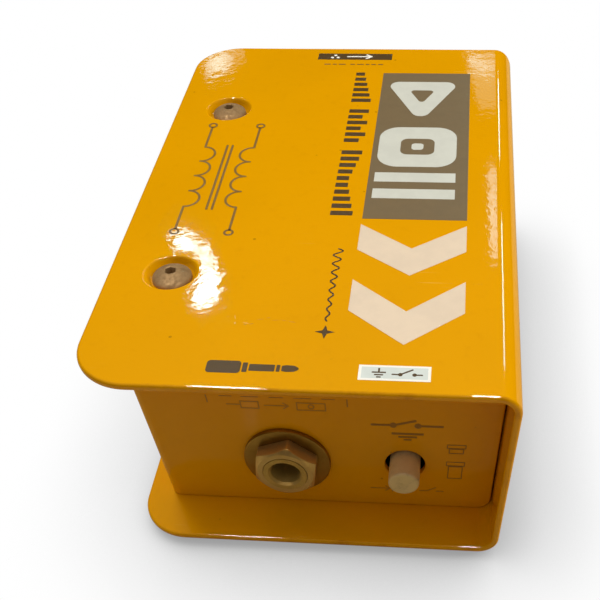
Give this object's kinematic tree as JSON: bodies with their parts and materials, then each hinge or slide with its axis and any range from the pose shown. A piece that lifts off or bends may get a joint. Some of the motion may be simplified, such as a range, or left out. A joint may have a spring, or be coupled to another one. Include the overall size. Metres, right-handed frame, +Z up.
{
  "type": "direct injection box",
  "caption": "Small steel interface box with a book-end outer cover, latching three-contact input at the back, quarter inch output jack and ground lift push button at the front.",
  "frame": {"origin": "centre of the footprint, on the underside of the base pad", "axes": "+Z up; +X towards the closed side wall of the outer cover; -Y towards the output panel with the jack and the button, +Y towards the input connector"},
  "size_m": [0.0814, 0.127, 0.0485],
  "materials": {
    "cover_paint": "glossy yellow powder coat with a fine orange peel, dark and white silkscreen marks",
    "chassis_paint": "satin yellow powder coat",
    "screw_steel": "zinc plated button heads",
    "zinc_steel": "bright zinc plating",
    "pad_rubber": "matte black non-slip sheet",
    "jack_plastic": "black moulded housing",
    "jack_nickel": "dull nickel plating",
    "contact_brass": "plated contact metal",
    "switch_plastic": "black moulded housing",
    "plunger_plastic": "natural nylon",
    "button_ivory": "ivory moulded cap, worn satin",
    "spring_wire": "drawn spring wire",
    "shell_zinc": "die cast, satin nickel plated",
    "insert_plastic": "glass filled black nylon",
    "latch_metal": "satin nickel plated",
    "screw_black": "black oxide",
    "board_laminate": "green glass epoxy laminate",
    "can_metal": "bright annealed shielding alloy",
    "base_plastic": "black moulded base",
    "core_steel": "stacked laminations",
    "bobbin_plastic": "natural nylon",
    "winding_copper": "enamelled copper wire",
    "resistor_body": "lacquered film resistors",
    "capacitor_body": "moulded film capacitors",
    "wire_green": "green insulated wire"
  },
  "bodies": {
    "enclosure": {"outer_cover": "cover_paint", "inner_chassis": "chassis_paint", "cover_screws": "screw_steel", "clinch_nuts": "zinc_steel", "base_pad": "pad_rubber", "jack_housing": "jack_plastic", "jack_bushing": "jack_nickel", "jack_washer": "jack_nickel", "jack_nut": "jack_nickel", "jack_pins": "contact_brass", "switch_body": "switch_plastic", "switch_spring": "spring_wire", "switch_latch_pin": "spring_wire", "switch_terminals": "contact_brass", "xlr_shell": "shell_zinc", "xlr_insert": "insert_plastic", "xlr_contacts": "contact_brass", "xlr_latch_spring": "spring_wire", "xlr_pivot_pin": "zinc_steel", "xlr_screws": "screw_black", "circuit_board": "board_laminate", "board_standoffs": "zinc_steel", "board_screws": "zinc_steel", "transformer_can": "can_metal", "transformer_base": "base_plastic", "transformer_core": "core_steel", "transformer_bobbin": "bobbin_plastic", "transformer_winding": "winding_copper", "transformer_pins": "contact_brass", "resistors": "resistor_body", "film_capacitors": "capacitor_body", "ground_stud": "zinc_steel", "ground_lug": "zinc_steel", "ground_nut": "zinc_steel", "ground_wire": "wire_green"},
    "lift_button": {"button_cap": "button_ivory", "switch_plunger": "plunger_plastic", "switch_contacts": "contact_brass"},
    "xlr_release": {"xlr_latch": "latch_metal"},
    "tip_contact": {"jack_tip_spring": "contact_brass"}
  },
  "joints": [
    {"name": "lift_press", "type": "slide", "parent": "enclosure", "child": "lift_button", "axis": [0, 1, 0], "range_m": [0, 0.0035], "deforming": ["switch_spring"]},
    {"name": "latch_turn", "type": "hinge", "parent": "enclosure", "child": "xlr_release", "pos_m": [0, 0.044, 0.036], "axis": [-1, 0, 0], "range_deg": [0, 8], "deforming": ["xlr_latch_spring"]},
    {"name": "tip_flex", "type": "hinge", "parent": "enclosure", "child": "tip_contact", "pos_m": [-0.0057, -0.0442, 0.0238], "axis": [1, 0, 0], "range_deg": [0, 4]}
  ]
}
